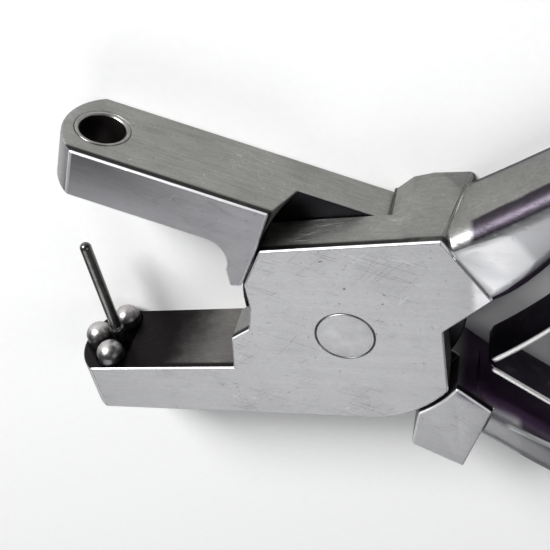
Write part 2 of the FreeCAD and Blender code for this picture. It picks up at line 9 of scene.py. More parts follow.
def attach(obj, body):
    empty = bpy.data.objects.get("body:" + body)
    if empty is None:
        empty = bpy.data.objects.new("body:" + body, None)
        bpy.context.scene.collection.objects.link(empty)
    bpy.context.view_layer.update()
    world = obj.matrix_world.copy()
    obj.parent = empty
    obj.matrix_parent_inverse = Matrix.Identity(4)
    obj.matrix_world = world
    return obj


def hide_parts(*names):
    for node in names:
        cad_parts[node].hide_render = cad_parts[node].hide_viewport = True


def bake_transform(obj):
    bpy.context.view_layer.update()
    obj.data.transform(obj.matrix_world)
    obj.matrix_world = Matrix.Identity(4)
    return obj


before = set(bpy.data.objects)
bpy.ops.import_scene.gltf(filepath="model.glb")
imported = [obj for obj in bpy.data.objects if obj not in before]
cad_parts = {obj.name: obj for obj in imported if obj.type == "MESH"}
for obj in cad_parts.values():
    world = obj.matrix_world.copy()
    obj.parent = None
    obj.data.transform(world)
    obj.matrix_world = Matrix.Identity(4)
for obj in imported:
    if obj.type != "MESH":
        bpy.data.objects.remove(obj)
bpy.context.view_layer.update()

# ---------------------------------------------------------------- lower jaw lever
# One drop forging of medium-carbon steel: lower jaw, front half of the lap joint, shoulder block
# and upper handle. The flats are belt ground along the tool, the outline edges are broken by hand so that
# they catch the light, and the colour carries painted shade and highlights: darker sides, the jaw's inner
# face near black round the studs, a dark band between the handles and in the handle's corners, and bright
# lines on the broken edges and the handle's front flat.
MM = 0.001
JAW_FACE_TIP = -7.4 * MM
JAW_FACE_ROOT = -6.2 * MM
NOTCH_X = -16.0 * MM
JAW_TIP_X = -40.5 * MM
THICKNESS = 12.2 * MM
EDGE = 0.28 * MM
ARM_ANGLE = math.radians(23.75)


class Value:
    """A number inside a material. Arithmetic on it adds Math nodes to the same node tree."""

    def __init__(self, tree, socket):
        self.tree = tree
        self.socket = socket

    def node(self, kind, settings, inputs):
        """Add a node: its settings first, then its input values or links."""
        made = self.tree.nodes.new(kind)
        for key, setting in settings.items():
            setattr(made, key, setting)
        for key, value in inputs.items():
            if isinstance(value, Value):
                self.tree.links.new(value.socket, made.inputs[key])
            else:
                made.inputs[key].default_value = value
        return made

    def math(self, operation, *values):
        made = self.node("ShaderNodeMath", {"operation": operation}, dict(enumerate(values)))
        return Value(self.tree, made.outputs[0])

    def __add__(self, other):
        return self.math("ADD", self, other)

    def __sub__(self, other):
        return self.math("SUBTRACT", self, other)

    def __rsub__(self, other):
        return self.math("SUBTRACT", other, self)

    def __mul__(self, other):
        return self.math("MULTIPLY", self, other)

    def __truediv__(self, other):
        return self.math("DIVIDE", self, other)

    def __rtruediv__(self, other):
        return self.math("DIVIDE", other, self)

    def __abs__(self):
        return self.math("ABSOLUTE", self)

    __radd__ = __add__
    __rmul__ = __mul__

    def step(self, low, high):
        """Smooth step: 0 below low, 1 above high."""
        made = self.node("ShaderNodeMapRange", {"interpolation_type": "SMOOTHSTEP"},
                         {"Value": self, "From Min": low, "From Max": high})
        return Value(self.tree, made.outputs["Result"])

    def scaled(self, factors):
        """This vector times (fx, fy, fz)."""
        made = self.node("ShaderNodeVectorMath", {"operation": "MULTIPLY"}, {0: self, 1: factors})
        return Value(self.tree, made.outputs[0])

    def turned(self, angle):
        """This vector turned about Z."""
        made = self.node("ShaderNodeVectorRotate", {"rotation_type": "Z_AXIS"},
                         {"Vector": self, "Angle": angle})
        return Value(self.tree, made.outputs[0])

    def noise(self, factors, detail=2.0, roughness=0.5, distortion=0.0):
        """Noise read at this vector times factors, in cycles a metre."""
        made = self.node("ShaderNodeTexNoise", {}, {
            "Vector": self.scaled(factors), "Scale": 1.0, "Detail": detail, "Roughness": roughness,
            "Distortion": distortion})
        return Value(self.tree, made.outputs[0])

    def parts(self):
        """x, y and z of this vector."""
        made = self.node("ShaderNodeSeparateXYZ", {}, {0: self})
        return tuple(Value(self.tree, output) for output in made.outputs)

    def mix(self, low, high):
        """A colour that goes from low to high as this number goes from 0 to 1."""
        made = self.node("ShaderNodeMix", {"data_type": "RGBA"}, {0: self, 6: low, 7: high})
        return Value(self.tree, made.outputs[2])


def new_material(name):
    """An empty Principled material: returns it, its shader node and its Object coordinates."""
    material = bpy.data.materials.new(name)
    material.use_nodes = True
    tree = material.node_tree
    shader = tree.nodes["Principled BSDF"]
    place = tree.nodes.new("ShaderNodeTexCoord")
    return material, shader, Value(tree, place.outputs["Object"])


def set_shader(shader, colour, roughness, height=None, relief=0.0, **constants):
    """Feed the Principled shader; height in the range 0 to 1 becomes relief metres of bump."""
    tree = shader.id_data
    for key, value in {"Base Color": colour, "Roughness": roughness}.items():
        if isinstance(value, Value):
            tree.links.new(value.socket, shader.inputs[key])
        else:
            shader.inputs[key].default_value = value
    for key, value in constants.items():
        shader.inputs[key.replace("_", " ")].default_value = value
    if height is not None:
        bump = height.node("ShaderNodeBump", {}, {"Height": height, "Distance": relief, "Strength": 1.0})
        tree.links.new(bump.outputs[0], shader.inputs["Normal"])


def hairlines(place, angle, along, across, width):
    """Fine scratches: the thin band where a long stretched noise crosses its middle value,
    1 on the line and 0 off it. |n - 1/2| < width is the line."""
    stretched = place.turned(angle).noise((along, across, across), detail=1.0)
    return 1 - abs(stretched - 0.5).step(width * 0.3, width)


def ground_steel(name, flat, shaded_side, angle, gloss, zones):
    """Forging with belt-ground flats and sides, each a (dark, bright) pair of tones; the sides' pair is
    darker, painted shade on the faces turned from the light. Grain is noise stretched 30 to 1 along the
    grinding direction; over it lie hairline scratches in two directions, faint clouds of handling stain and
    small forging pits. zones gives (amount, colour, drop in roughness) for painted places: stains, painted
    shade and painted highlights."""
    material, shader, place = new_material(name)
    lay = place.turned(angle)
    grain = lay.noise((210, 4200, 4200), detail=3.0, roughness=0.62)
    coarse = lay.noise((70, 900, 900), detail=2.0)
    speckle = place.noise((3000, 3000, 3000), detail=3.0, roughness=0.7)
    cloud = place.noise((120, 120, 120), detail=4.0, roughness=0.62)
    pits = place.noise((1700, 1700, 1700), detail=3.0, roughness=0.65).step(0.67, 0.75)
    scratch = hairlines(place, angle + 0.35, 45, 700, 0.006) + hairlines(place, angle - 0.8, 60, 520, 0.005)
    scratch = scratch * cloud.step(0.42, 0.62)
    tone = place.node("ShaderNodeAttribute", {"attribute_name": "shaded_side"}, {})
    side = Value(place.tree, tone.outputs["Fac"]).step(0.25, 0.6)
    shade = cloud.step(0.28, 0.72) * 0.3 + grain.step(0.3, 0.7) * 0.35
    shade = shade + speckle.step(0.3, 0.7) * 0.2 + coarse * 0.15
    # Painted shade: the sides take the darker pair of tones.
    colour = side.mix(shade.mix(*flat), shade.mix(*shaded_side))
    colour = (pits * 0.35).mix(colour, (0.06, 0.05, 0.045, 1))
    colour = (scratch * 0.22).mix(colour, (0.72, 0.72, 0.74, 1))
    roughness = gloss + grain * 0.16 + coarse * 0.08 + cloud.step(0.35, 0.75) * 0.08
    roughness = roughness + pits * 0.25 + side * 0.05
    slope_side = Value(place.tree, tone.outputs["Fac"])
    for amount, stain, drop in zones(place, cloud, slope_side) + painted_edge_lines(place, cloud, side):
        colour = amount.mix(colour, stain)
        roughness = roughness - amount * drop
    height = grain * 0.5 + coarse * 0.25 + speckle * 0.25 - pits * 0.8 - scratch * 0.5
    set_shader(shader, colour, roughness, height, 0.000016, Metallic=1.0, IOR=2.6)
    return material


def painted_edge_lines(place, cloud, side):
    """Painted light along the front outline: a painted highlight, a bright line on the broken edge, and,
    under it on the sides, a painted shade line, dark, about half a millimetre deep."""
    x, y, z = place.parts()
    off_rivet = (x * x + y * y).step(20 * MM * MM, 24 * MM * MM)
    depth = THICKNESS - z
    wear_and_highlight = (1 - depth.step(0.22 * MM, 0.27 * MM)) * depth.step(0.005 * MM, 0.03 * MM) * off_rivet
    painted_shade_line = (1 - depth.step(0.8 * MM, 1.3 * MM)) * depth.step(0.27 * MM, 0.34 * MM) * side * off_rivet
    # A dark painted shade line under the edge and a bright painted highlight on it.
    return [(painted_shade_line * (cloud.step(0.25, 0.45) * 0.3 + 0.65), (0.010, 0.009, 0.010, 1), 0.0),
            (wear_and_highlight, (0.86, 0.86, 0.88, 1), -0.06)]


def handle_polish_and_dark_reflection(x, slope_side, cloud, flat_tone):
    """The handles' front flats are polished and take the given flat tone; their rounded corners, where 1 -
    |n_z| lies between the flat's 0 and the side's 1, get a near-black band, a painted dark reflection."""
    beyond = (x + cloud * MM).step(16.0 * MM, 17.0 * MM)
    flat = (1 - slope_side.step(0.02, 0.12)) * beyond
    corner = slope_side.step(0.05, 0.14) * (1 - slope_side.step(0.82, 0.96)) * beyond
    # Painted reflection: the rounded corners near black.
    return [(flat * 0.8, flat_tone, 0.04), (corner * 0.93, (0.020, 0.014, 0.024, 1), 0.0)]


def between_handles(x, y, cloud):
    """1 in the space between the handles, which the materials fill with painted shade, a near-black purple.
    The two slanted limits follow the handles' centre lines, y = y0 + slope (x - x0)."""
    under_upper = 1 - (y - (x - 18.6 * MM) * 0.66 - 8.6 * MM + cloud * MM).step(-1.2 * MM, 0.5 * MM)
    over_lower = (y + (x - 18.4 * MM) * 0.74 + 14.6 * MM - cloud * MM).step(-0.6 * MM, 1.0 * MM)
    return under_upper * over_lower * (x + cloud * 2 * MM).step(13.5 * MM, 15.5 * MM)


def lower_zones(place, cloud, slope_side):
    """Painted shade on the lower jaw's inner face, dark brown across it and near black round the studs, the
    black fading towards the notch; painted shade between the handles; and the handles' flats and corners.
    The face's height is y(x) = tip + (root - tip) (x - x_tip) / (x_notch - x_tip)."""
    x, y, z = place.parts()
    slope = (JAW_FACE_ROOT - JAW_FACE_TIP) / (NOTCH_X - JAW_TIP_X)
    off_face = abs(y - (x - JAW_TIP_X) * slope - JAW_FACE_TIP)
    on_face = (1 - off_face.step(0.14 * MM, 0.34 * MM)) * slope_side.step(0.4, 0.6)
    on_face = on_face * (1 - x.step(NOTCH_X, NOTCH_X + 0.5 * MM))
    fade = 1 - (x + (cloud - 0.5) * 9 * MM).step(-27 * MM, -18 * MM)
    # Painted highlight: the upper handle's polished front flat is painted bright.
    return handle_polish_and_dark_reflection(x, slope_side, cloud, (0.58, 0.58, 0.60, 1)) + [
        # Painted shade on the jaw's inner face: dark brown across it and near black round the studs.
        (on_face * 0.55, (0.13, 0.115, 0.11, 1), 0.10),
        (on_face * fade * 0.98, (0.008, 0.006, 0.007, 1), 0.02),
        # Painted shade: the space between the handles near-black purple.
        (between_handles(x, y, cloud) * slope_side.step(0.03, 0.1), (0.070, 0.042, 0.086, 1), -0.05)]


def forging(node, body, material, edge):
    """A copy of a CAD node's mesh with its edges broken: equal points merged, flat facets joined, and
    every edge sharper than 30 degrees rounded by edge. Its float attribute is 1 - |n_z| of the shaded
    normal: 0 on the ground flats and 1 on the sides, which the steel materials paint darker as painted shade."""
    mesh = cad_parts[node].data.copy()
    work = bmesh.new()
    work.from_mesh(mesh)
    bmesh.ops.remove_doubles(work, verts=work.verts, dist=0.002 * MM)
    bmesh.ops.dissolve_limit(work, angle_limit=math.radians(0.6), verts=work.verts, edges=work.edges)
    bmesh.ops.recalc_face_normals(work, faces=work.faces)
    for face in work.faces:
        face.smooth = True
    work.to_mesh(mesh)
    work.free()
    mesh.set_sharp_from_angle(angle=math.radians(22))
    normals = np.empty(len(mesh.loops) * 3, np.float32)
    mesh.corner_normals.foreach_get("vector", normals)
    shaded_side = mesh.attributes.new("shaded_side", "FLOAT", "CORNER")
    shaded_side.data.foreach_set("value", 1 - np.abs(normals[2::3]))
    mesh.materials.clear()
    mesh.materials.append(material)
    piece = bpy.data.objects.new(f"{node}_finished", mesh)
    bpy.context.scene.collection.objects.link(piece)
    bevel = piece.modifiers.new("broken_edges", "BEVEL")
    bevel.width = edge
    bevel.segments = 3
    bevel.limit_method = "ANGLE"
    bevel.angle_limit = math.radians(30)
    bevel.harden_normals = True
    bevel.use_clamp_overlap = False
    bevel.loop_slide = False
    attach(piece, body)
    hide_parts(node)
    return piece


# The second pair of tones is the sides' darker painted shade.
lower_steel = ground_steel(
    "ground_forging_lower", ((0.27, 0.27, 0.275, 1), (0.41, 0.41, 0.42, 1)),
    ((0.17, 0.17, 0.162, 1), (0.33, 0.33, 0.315, 1)), 0.05, 0.22, lower_zones)
forging("lower_jaw_lever", "lower_jaw_side", lower_steel, EDGE)

# ---------------------------------------------------------------- upper jaw lever
# The other forging: upper jaw, back half of the lap joint, lug and lower handle. The same steel,
# ground along the slope of the jaw, the jaw a shade darker, with painted shade, near black, on the lap faces.
LAP_FLOOR = 6.05 * MM


def upper_zones(place, cloud, slope_side):
    """A darker, faintly purple jaw in front of the pivot; painted shade, near black, on the lap faces at the
    joint's middle and between the handles; and a painted highlight, a bright line, along the lower handle's
    inner edge."""
    x, y, z = place.parts()
    jaw = 1 - (x + cloud * MM).step(-4 * MM, 6 * MM)
    in_lap = (1 - abs(z - LAP_FLOOR).step(0.12 * MM, 0.5 * MM)) * (1 - slope_side.step(0.2, 0.5))
    on_front = 1 - slope_side.step(0.2, 0.5)
    inner_edge = abs(y + (x - 18.4 * MM) * 0.74 + 15.3 * MM)
    wear_and_highlight = (1 - inner_edge.step(0.25 * MM, 0.5 * MM)) * x.step(19 * MM, 20 * MM) * z.step(7 * MM, 8 * MM)
    return handle_polish_and_dark_reflection(x - 5 * MM, slope_side, cloud, (0.26, 0.26, 0.27, 1)) + [
        # Painted shade: the lap faces near black; the jaw a darker, faintly purple tone.
        (jaw * on_front * 0.6, (0.185, 0.18, 0.192, 1), 0.0), (in_lap * 0.95, (0.012, 0.011, 0.014, 1), 0.0),
        # Painted shade: the space between the handles near-black purple.
        (between_handles(x, y, cloud) * slope_side.step(0.03, 0.1), (0.070, 0.042, 0.086, 1), -0.05),
        # Painted highlight: a bright line along the lower handle's inner edge.
        (wear_and_highlight * 0.9, (0.86, 0.86, 0.88, 1), 0.0)]


# The second pair of tones is the sides' darker painted shade.
upper_steel = ground_steel(
    "ground_forging_upper", ((0.25, 0.25, 0.26, 1), (0.39, 0.39, 0.40, 1)),
    ((0.18, 0.178, 0.168, 1), (0.35, 0.35, 0.335, 1)), ARM_ANGLE, 0.25, upper_zones)
forging("upper_jaw_lever", "upper_jaw_side", upper_steel, EDGE)

# ---------------------------------------------------------------- pivot rivet
# A steel rivet through both halves of the lap joint, headed over cold and ground flush with the
# plate, so only a hairline ring and the turned marks of the grinding show.
RIVET_RADIUS = 3.7 * MM


def rounded_profile(profile, rounding, steps=5):
    """Round the corners of a half profile. The curve starts and ends the rounding away from a
    corner, or 0.45 of the side if that is less, and is the quadratic
    (1-t)^2 p0 + 2 t (1-t) corner + t^2 p2."""
    result = [profile[0]]
    for i in range(1, len(profile) - 1):
        corner = np.array(profile[i])
        back, ahead = np.array(profile[i - 1]) - corner, np.array(profile[i + 1]) - corner
        reach = min(rounding, 0.45 * np.linalg.norm(back), 0.45 * np.linalg.norm(ahead))
        start = corner + back / np.linalg.norm(back) * reach
        end = corner + ahead / np.linalg.norm(ahead) * reach
        for t in np.linspace(0, 1, steps):
            result.append(tuple((1 - t) ** 2 * start + 2 * t * (1 - t) * corner + t ** 2 * end))
    result.append(profile[-1])
    return result


def surface(name, points, around=True, closed=False):
    """A mesh from a grid of points, rings by columns: neighbouring rings are joined by quads, the
    columns close on themselves when around is true and the rings when closed is true. A ring that has
    shrunk to one point becomes a pole of triangles."""
    rings, columns = points.shape[:2]
    poles = {i for i in range(rings) if np.ptp(points[i], axis=0).max() < 1e-7} if around else set()
    index = np.zeros((rings, columns), int)
    spots = []
    for i in range(rings):
        if i in poles:
            index[i] = len(spots)
            spots.append(points[i, 0])
        else:
            index[i] = len(spots) + np.arange(columns)
            spots.extend(points[i])
    faces = []
    for i in range(rings if closed else rings - 1):
        j = (i + 1) % rings
        for k in range(columns if around else columns - 1):
            m = (k + 1) % columns
            ring = [index[i, k], index[i, m], index[j, m], index[j, k]]
            faces.append(list(dict.fromkeys(int(v) for v in ring)))
    mesh = bpy.data.meshes.new(name)
    mesh.from_pydata([tuple(map(float, p)) for p in spots], [], [f for f in faces if len(f) > 2])
    work = bmesh.new()
    work.from_mesh(mesh)
    bmesh.ops.recalc_face_normals(work, faces=work.faces)
    for face in work.faces:
        face.smooth = True
    work.to_mesh(mesh)
    work.free()
    return mesh


def turning(name, profile, foot, direction, steps=96, closed=False):
    """A turned surface: (r, h) becomes foot + h a + r (cos t u + sin t v), a the axis and u, v across it."""
    axis = Vector(direction).normalized()
    u = axis.orthogonal().normalized()
    v = axis.cross(u)
    angles = np.linspace(0, 2 * math.pi, steps, endpoint=False)
    ring = np.outer(np.cos(angles), np.array(u)) + np.outer(np.sin(angles), np.array(v))
    points = np.array([np.array(foot) + h * np.array(axis) + r * ring for r, h in profile])
    return surface(name, points, closed=closed)


def place_piece(name, mesh, material, body, slot_name, *nodes):
    """Put a finished mesh into the scene, on its body and in place of its CAD nodes."""
    mesh.materials.append(material)
    piece = bpy.data.objects.new(name, mesh)
    bpy.context.scene.collection.objects.link(piece)
    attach(piece, body)
    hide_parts(*nodes)
    return piece


def turned_steel(name, bright, dark, foot, direction, gloss, pitch, painted_shade_radius=0.0):
    """Steel from a lathe: rings of the tool's feed, sin(2 pi (r + h) / pitch) on the distance from the
    axis and along it, broken up by noise, with soft stain and small dents. Inside the radius given last,
    if any, it is painted near black: painted shade in the bore."""
    material, shader, place = new_material(name)
    moved = place.node("ShaderNodeVectorMath", {"operation": "SUBTRACT"}, {0: place, 1: tuple(foot)})
    local = Value(place.tree, moved.outputs[0])
    axis = Vector(direction).normalized()
    dot = local.node("ShaderNodeVectorMath", {"operation": "DOT_PRODUCT"}, {0: local, 1: tuple(axis)})
    along = Value(place.tree, dot.outputs["Value"])
    length = local.node("ShaderNodeVectorMath", {"operation": "LENGTH"}, {0: local})
    reach = Value(place.tree, length.outputs["Value"])
    squared = reach * reach - along * along
    squared = squared.math("MAXIMUM", squared, 0.0)
    radial = squared.math("SQRT", squared)
    wander = place.noise((700, 700, 700), detail=3.0)
    phase = (radial + along) * (2 * math.pi / pitch) + wander * 2.5
    rings = phase.math("SINE", phase)
    stain = place.noise((420, 420, 420), detail=4.0, roughness=0.6)
    dents = place.noise((1900, 1900, 1900), detail=2.0).step(0.66, 0.78)
    shade = stain.step(0.3, 0.75) * 0.7 + rings * 0.1 + 0.15
    colour = (dents * 0.4).mix(shade.mix(dark, bright), (0.10, 0.09, 0.08, 1))
    roughness = gloss + wander * 0.12 + rings * 0.03 + stain * 0.12
    # Painted shade: near black inside the bore.
    if painted_shade_radius:
        inside = 1 - radial.step(painted_shade_radius - 0.02 * MM, painted_shade_radius + 0.04 * MM)
        colour = (inside * 0.97).mix(colour, (0.006, 0.004, 0.004, 1))
        roughness = roughness + inside * 0.25
    set_shader(shader, colour, roughness, rings * 0.4 + wander * 0.4 - dents * 0.6 + 0.5, 0.000006,
               Metallic=1.0, IOR=2.6)
    return material


rivet_profile = rounded_profile([
    (0.0, 0.0), (RIVET_RADIUS, 0.0), (RIVET_RADIUS, THICKNESS), (0.0, THICKNESS),
], 0.16 * MM)
rivet_mesh = turning("pivot_rivet_turned", rivet_profile, (0, 0, 0), (0, 0, 1), steps=128)
rivet_steel = turned_steel("rivet_steel", (0.43, 0.43, 0.44, 1), (0.31, 0.31, 0.32, 1), (0, 0, 0), (0, 0, 1),
                           0.26, 0.35 * MM)
place_piece("pivot_rivet_finished", rivet_mesh, rivet_steel, "lower_jaw_side", "rivet_steel",
            "pivot_rivet")

# ---------------------------------------------------------------- punch pin
# A hardened and polished silver-steel pin with a thicker foot, dropped into its bore in the lower
# jaw from above and held from below by a grub screw. Its crown is rounded.
PIN_X = -35.0 * MM
MIDDLE = THICKNESS / 2
JAW_FLOOR = -15.1 * MM
GRUB_INSET = 0.6 * MM
GRUB_LENGTH = 3.0 * MM
pin_foot = JAW_FLOOR + GRUB_INSET + GRUB_LENGTH
pin_face = JAW_FACE_TIP + (JAW_FACE_ROOT - JAW_FACE_TIP) * (PIN_X - JAW_TIP_X) / (NOTCH_X - JAW_TIP_X)
pin_radius, pin_base = 0.8 * MM, 1.05 * MM
pin_collar = pin_face + 2.6 * MM - pin_foot
pin_length = pin_face + 17.6 * MM - pin_foot
crown = [(pin_radius * math.cos(t), pin_length - pin_radius * (1 - math.sin(t)))
         for t in np.linspace(0, math.pi / 2, 12)]
crown[-1] = (0.0, pin_length)
pin_profile = rounded_profile([
    (0.0, 0.0), (pin_base, 0.0), (pin_base, pin_collar - 0.3 * MM), (pin_radius, pin_collar),
    (pin_radius, (pin_collar + pin_length) / 2),
], 0.12 * MM)[:-1] + crown
pin_mesh = turning("punch_pin_turned", pin_profile, (PIN_X, pin_foot, MIDDLE), (0, 1, 0), steps=72)
pin_steel = turned_steel("punch_steel", (0.22, 0.215, 0.21, 1), (0.09, 0.085, 0.08, 1),
                         (PIN_X, pin_foot, MIDDLE), (0, 1, 0), 0.15, 0.28 * MM)
place_piece("punch_pin_finished", pin_mesh, pin_steel, "lower_jaw_side", "punch_steel", "punch_pin")

# ---------------------------------------------------------------- pin grub screw
# A blackened set screw with a hexagon socket, turned up into the jaw's underside until it bears on
# the pin's foot. Its rolled thread shows only as fine ridges at the mouth of the bore.
GRUB_RADIUS = 1.5 * MM
SOCKET = 0.7 * MM
SOCKET_DEPTH = 1.2 * MM


def hex_screw(name, foot, direction, steps=96):
    """A set screw with a hexagon socket. The socket's wall is r(t) = s / cos(((t + 30) mod 60) - 30), the
    outside is a ridged cylinder r = R - d (1 + cos(2 pi h / pitch)) / 2, and the end is chamfered."""
    axis = Vector(direction).normalized()
    u = axis.orthogonal().normalized()
    v = axis.cross(u)
    angles = np.linspace(0, 2 * math.pi, steps, endpoint=False)
    way = np.outer(np.cos(angles), np.array(u)) + np.outer(np.sin(angles), np.array(v))
    sixth = math.pi / 3
    hexagon = SOCKET * 0.9 / np.cos(np.mod(angles + sixth / 2, sixth) - sixth / 2)
    rings = [(np.zeros(steps), SOCKET_DEPTH + 0.25 * MM), (hexagon * 0.96, SOCKET_DEPTH)]
    rings += [(hexagon, SOCKET_DEPTH - 0.05 * MM), (hexagon, 0.08 * MM), (hexagon * 1.06, 0.0)]
    rings += [(np.full(steps, GRUB_RADIUS - 0.3 * MM), 0.0)]
    pitch, depth = 0.5 * MM, 0.1 * MM
    for h in np.arange(0.25 * MM, GRUB_LENGTH - 0.2 * MM, pitch / 6):
        ridge = (1 + math.cos(2 * math.pi * h / pitch)) / 2
        rings.append((np.full(steps, GRUB_RADIUS - depth * ridge), h))
    rings += [(np.full(steps, GRUB_RADIUS - 0.2 * MM), GRUB_LENGTH), (np.zeros(steps), GRUB_LENGTH)]
    points = np.array([np.array(foot) + h * np.array(axis) + r[:, None] * way for r, h in rings])
    return surface(name, points)


grub_foot = (PIN_X, JAW_FLOOR + GRUB_INSET, MIDDLE)
grub_mesh = hex_screw("pin_grub_screw_turned", grub_foot, (0, 1, 0))
black_steel = turned_steel("black_screw_steel", (0.13, 0.125, 0.12, 1), (0.035, 0.033, 0.032, 1),
                           grub_foot, (0, 1, 0), 0.34, 0.3 * MM)
place_piece("pin_grub_screw_finished", grub_mesh, black_steel, "lower_jaw_side", "dark_steel",
            "pin_grub_screw")

# ---------------------------------------------------------------- studs
# Three dome-headed steel studs pressed into spotfaces round the pin. They are turned, blackened and
# worn bright on the crowns where the work is set down on them.
STUD_RADIUS = 1.9 * MM
STUD_HEIGHT = 3.0 * MM
STUD_RIM = 1.5 * MM
SHANK_RADIUS = 1.0 * MM
SHANK_LENGTH = 3.2 * MM
stud_foot = pin_face - 0.3 * MM


def stud_steel(name, foot):
    """Blackened steel worn bright on the crown: the wear grows with the height over the rim, broken by
    noise."""
    material, shader, place = new_material(name)
    x, y, z = place.parts()
    worn = place.noise((1300, 1300, 1300), detail=4.0, roughness=0.65)
    fine = place.noise((5200, 5200, 5200), detail=2.0)
    high = (y - (foot + STUD_RIM)) / (STUD_HEIGHT - STUD_RIM)
    wear = (high * 0.7 + worn * 0.9 - 0.62).step(0.0, 0.55)
    colour = wear.mix((0.15, 0.145, 0.15, 1), (0.52, 0.50, 0.49, 1))
    colour = (fine.step(0.62, 0.72) * 0.5).mix(colour, (0.03, 0.027, 0.025, 1))
    set_shader(shader, colour, 0.22 + worn * 0.2 + fine * 0.08, worn * 0.6 + fine * 0.4, 0.00001,
               Metallic=1.0, IOR=2.5)
    return material


dome_rise = STUD_HEIGHT - STUD_RIM
dome_radius = (STUD_RADIUS ** 2 + dome_rise ** 2) / (2 * dome_rise)
dome_edge = math.asin(min(1.0, STUD_RADIUS / dome_radius))
dome = [(dome_radius * math.sin(t), STUD_HEIGHT - dome_radius * (1 - math.cos(t)))
        for t in np.linspace(dome_edge, 0, 14)]
dome[-1] = (0.0, STUD_HEIGHT)
stud_profile = rounded_profile([
    (0.0, -SHANK_LENGTH), (SHANK_RADIUS, -SHANK_LENGTH), (SHANK_RADIUS, 0.0), (STUD_RADIUS, 0.0),
    (STUD_RADIUS, STUD_RIM), dome[2],
], 0.14 * MM) + dome[3:]
stud_material = stud_steel("stud_steel", stud_foot)
for stud, (along, up) in {
    "stud_tip": (PIN_X - 3.05 * MM, MIDDLE),
    "stud_front": (PIN_X, MIDDLE + 3.7 * MM),
    "stud_back": (PIN_X, MIDDLE - 3.7 * MM),
}.items():
    stud_mesh = turning(f"{stud}_turned", stud_profile, (along, stud_foot, up), (0, 1, 0), steps=80)
    place_piece(f"{stud}_finished", stud_mesh, stud_material, "lower_jaw_side", "dark_steel", stud)

# ---------------------------------------------------------------- die bush
# A thin hardened ring pressed into the upper jaw. Its mouth on the outer side is broken to lead the
# punched slug out, and the bore is ground.
BORE_RADIUS = 2.75 * MM
BUSH_RADIUS = BORE_RADIUS + 0.6 * MM
ARM_TOP = 14.7 * MM
ARM_THICKNESS = 6.5 * MM
arm_normal = Vector((math.sin(ARM_ANGLE), math.cos(ARM_ANGLE), 0))
arm_along = Vector((-math.cos(ARM_ANGLE), math.sin(ARM_ANGLE), 0))
bush_foot = arm_along * (35.6 * MM) + arm_normal * (ARM_TOP - ARM_THICKNESS) + Vector((0, 0, MIDDLE))
bush_ring = [
    (BORE_RADIUS, 0.06 * MM), (BORE_RADIUS + 0.06 * MM, 0.0), (BUSH_RADIUS - 0.05 * MM, 0.0),
    (BUSH_RADIUS, 0.05 * MM),
    (BUSH_RADIUS, ARM_THICKNESS - 0.06 * MM), (BUSH_RADIUS - 0.06 * MM, ARM_THICKNESS),
    (BORE_RADIUS + 0.27 * MM, ARM_THICKNESS), (BORE_RADIUS + 0.2 * MM, ARM_THICKNESS - 0.05 * MM),
    (BORE_RADIUS + 0.03 * MM, ARM_THICKNESS - 0.22 * MM), (BORE_RADIUS, ARM_THICKNESS - 0.3 * MM),
]
bush_mesh = turning("die_bush_turned", bush_ring, bush_foot, arm_normal, steps=128, closed=True)
# The bore's inside is painted near black, painted shade.
bush_steel = turned_steel("die_steel", (0.36, 0.355, 0.345, 1), (0.20, 0.195, 0.185, 1),
                          bush_foot, arm_normal, 0.2, 0.3 * MM, painted_shade_radius=BORE_RADIUS + 0.06 * MM)
place_piece("die_bush_finished", bush_mesh, bush_steel, "upper_jaw_side", "die_steel", "die_bush")

# ---------------------------------------------------------------- return springs
# Two leaves of rolled spring strip, sheared to width with eased edges and bent cold. Each is screwed
# flat to the inner side of its handle and the free ends press on one another near the joint.
STRIP = 0.9 * MM
STRIP_WIDTH = 6.4 * MM
FOOT_HALF = 4.5 * MM
LEAF_GAP = 0.2 * MM
SPRING_STATIONS = {
    "upper": ((49.0 * MM, 27.3 * MM), 17.0, 6.8 * MM, 1, ((16.0 * MM, 45.0), (59.3 * MM, -28.0))),
    "lower": ((49.0 * MM, -35.0 * MM), -18.0, 6.8 * MM, -1, ((16.0 * MM, -20.0), (800.0 * MM, -2.2))),
}


def leaf_path(side):
    """The strip's centre line: a straight foot, then arcs p(s) = c + R (cos, sin), with the heading at
    each point; returns points and headings."""
    (x, y), heading, width, inward, arcs = SPRING_STATIONS[side]
    lead = math.radians(heading)
    lift = (width / 2 + LEAF_GAP + STRIP / 2) * inward
    here = np.array([x + lift * math.sin(lead) + FOOT_HALF * math.cos(lead),
                     y - lift * math.cos(lead) + FOOT_HALF * math.sin(lead)])
    facing = lead + math.pi
    spots, ways = [], []
    for s in np.linspace(0, 2 * FOOT_HALF, 14):
        spots.append(here + s * np.array([math.cos(facing), math.sin(facing)]))
        ways.append(facing)
    for radius, turn in arcs:
        start, base = spots[-1], ways[-1]
        total = math.radians(turn)
        sign = 1 if turn > 0 else -1
        centre = start + radius * sign * np.array([-math.sin(base), math.cos(base)])
        for a in np.linspace(0, total, 40)[1:]:
            angle = base + a
            spots.append(centre - radius * sign * np.array([-math.sin(angle), math.cos(angle)]))
            ways.append(angle)
    return np.array(spots), np.array(ways)


